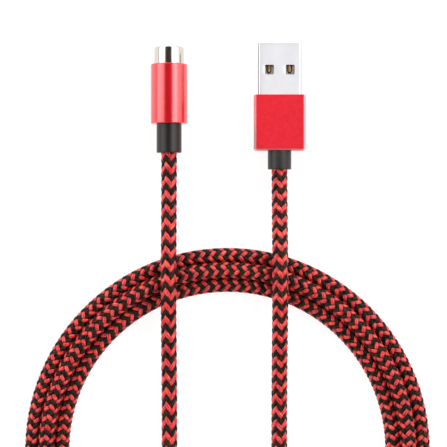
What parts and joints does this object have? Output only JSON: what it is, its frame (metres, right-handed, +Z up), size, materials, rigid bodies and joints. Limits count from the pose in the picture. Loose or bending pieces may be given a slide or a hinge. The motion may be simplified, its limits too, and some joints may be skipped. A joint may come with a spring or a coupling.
{
  "type": "charging cable",
  "caption": "Coiled braided charging cable with a USB plug at one end and a round magnetic charging head with a sprung centre contact at the other.",
  "frame": {"origin": "on the surface the cable lies on, at the middle of the box round the two connectors", "axes": "+Y the way both connectors point, +Z up from the surface, +X from the magnetic head towards the USB plug"},
  "size_m": [0.1138, 0.171, 0.0113],
  "materials": {
    "plated_steel": "satin nickel plate",
    "contact_carrier": "moulded",
    "gold_plate": "polished gold plate",
    "solder": "smooth",
    "wire_red": "extruded",
    "wire_black": "extruded",
    "inner_jacket": "extruded",
    "crimp_steel": "pressed",
    "inner_mould": "moulded",
    "red_anodised": "satin anodised",
    "black_collar": "moulded",
    "polished_nose": "polished nickel plate",
    "magnet": "nickel plate",
    "brass_barrel": "turned",
    "spring_steel": "drawn wire",
    "board": "solder mask on glass laminate",
    "braid": "red and black braided yarn",
    "strap": "woven hook-and-loop"
  },
  "bodies": {
    "cable": {"usb_shell": "plated_steel", "usb_tongue": "contact_carrier", "usb_power_contacts": "gold_plate", "usb_data_contacts": "gold_plate", "usb_solder": "solder", "usb_wire_power": "wire_red", "usb_wire_ground": "wire_black", "usb_jacket_end": "inner_jacket", "usb_crimp_ring": "crimp_steel", "usb_inner_mould": "inner_mould", "usb_cover": "red_anodised", "usb_collar": "black_collar", "head_nose": "polished_nose", "head_magnet": "magnet", "head_insulator": "contact_carrier", "head_ring_contact": "gold_plate", "head_pin_barrel": "brass_barrel", "head_pin_spring": "spring_steel", "head_board": "board", "head_solder": "solder", "head_wire_power": "wire_red", "head_wire_ground": "wire_black", "head_jacket_end": "inner_jacket", "head_crimp_ring": "crimp_steel", "head_inner_mould": "inner_mould", "head_sleeve": "red_anodised", "head_collar": "black_collar", "cord_run_head": "braid", "cord_run_usb": "braid", "cord_coil": "braid", "coil_tie": "strap"},
    "contact_pin": {"head_pin_plunger": "gold_plate"}
  },
  "joints": [
    {"name": "pin_press", "type": "slide", "parent": "cable", "child": "contact_pin", "axis": [0, -1, 0], "range_m": [0, 0.0006], "stiffness_N_per_m": 400, "springref_m": -0.0003, "deforming": ["head_pin_spring"]}
  ]
}
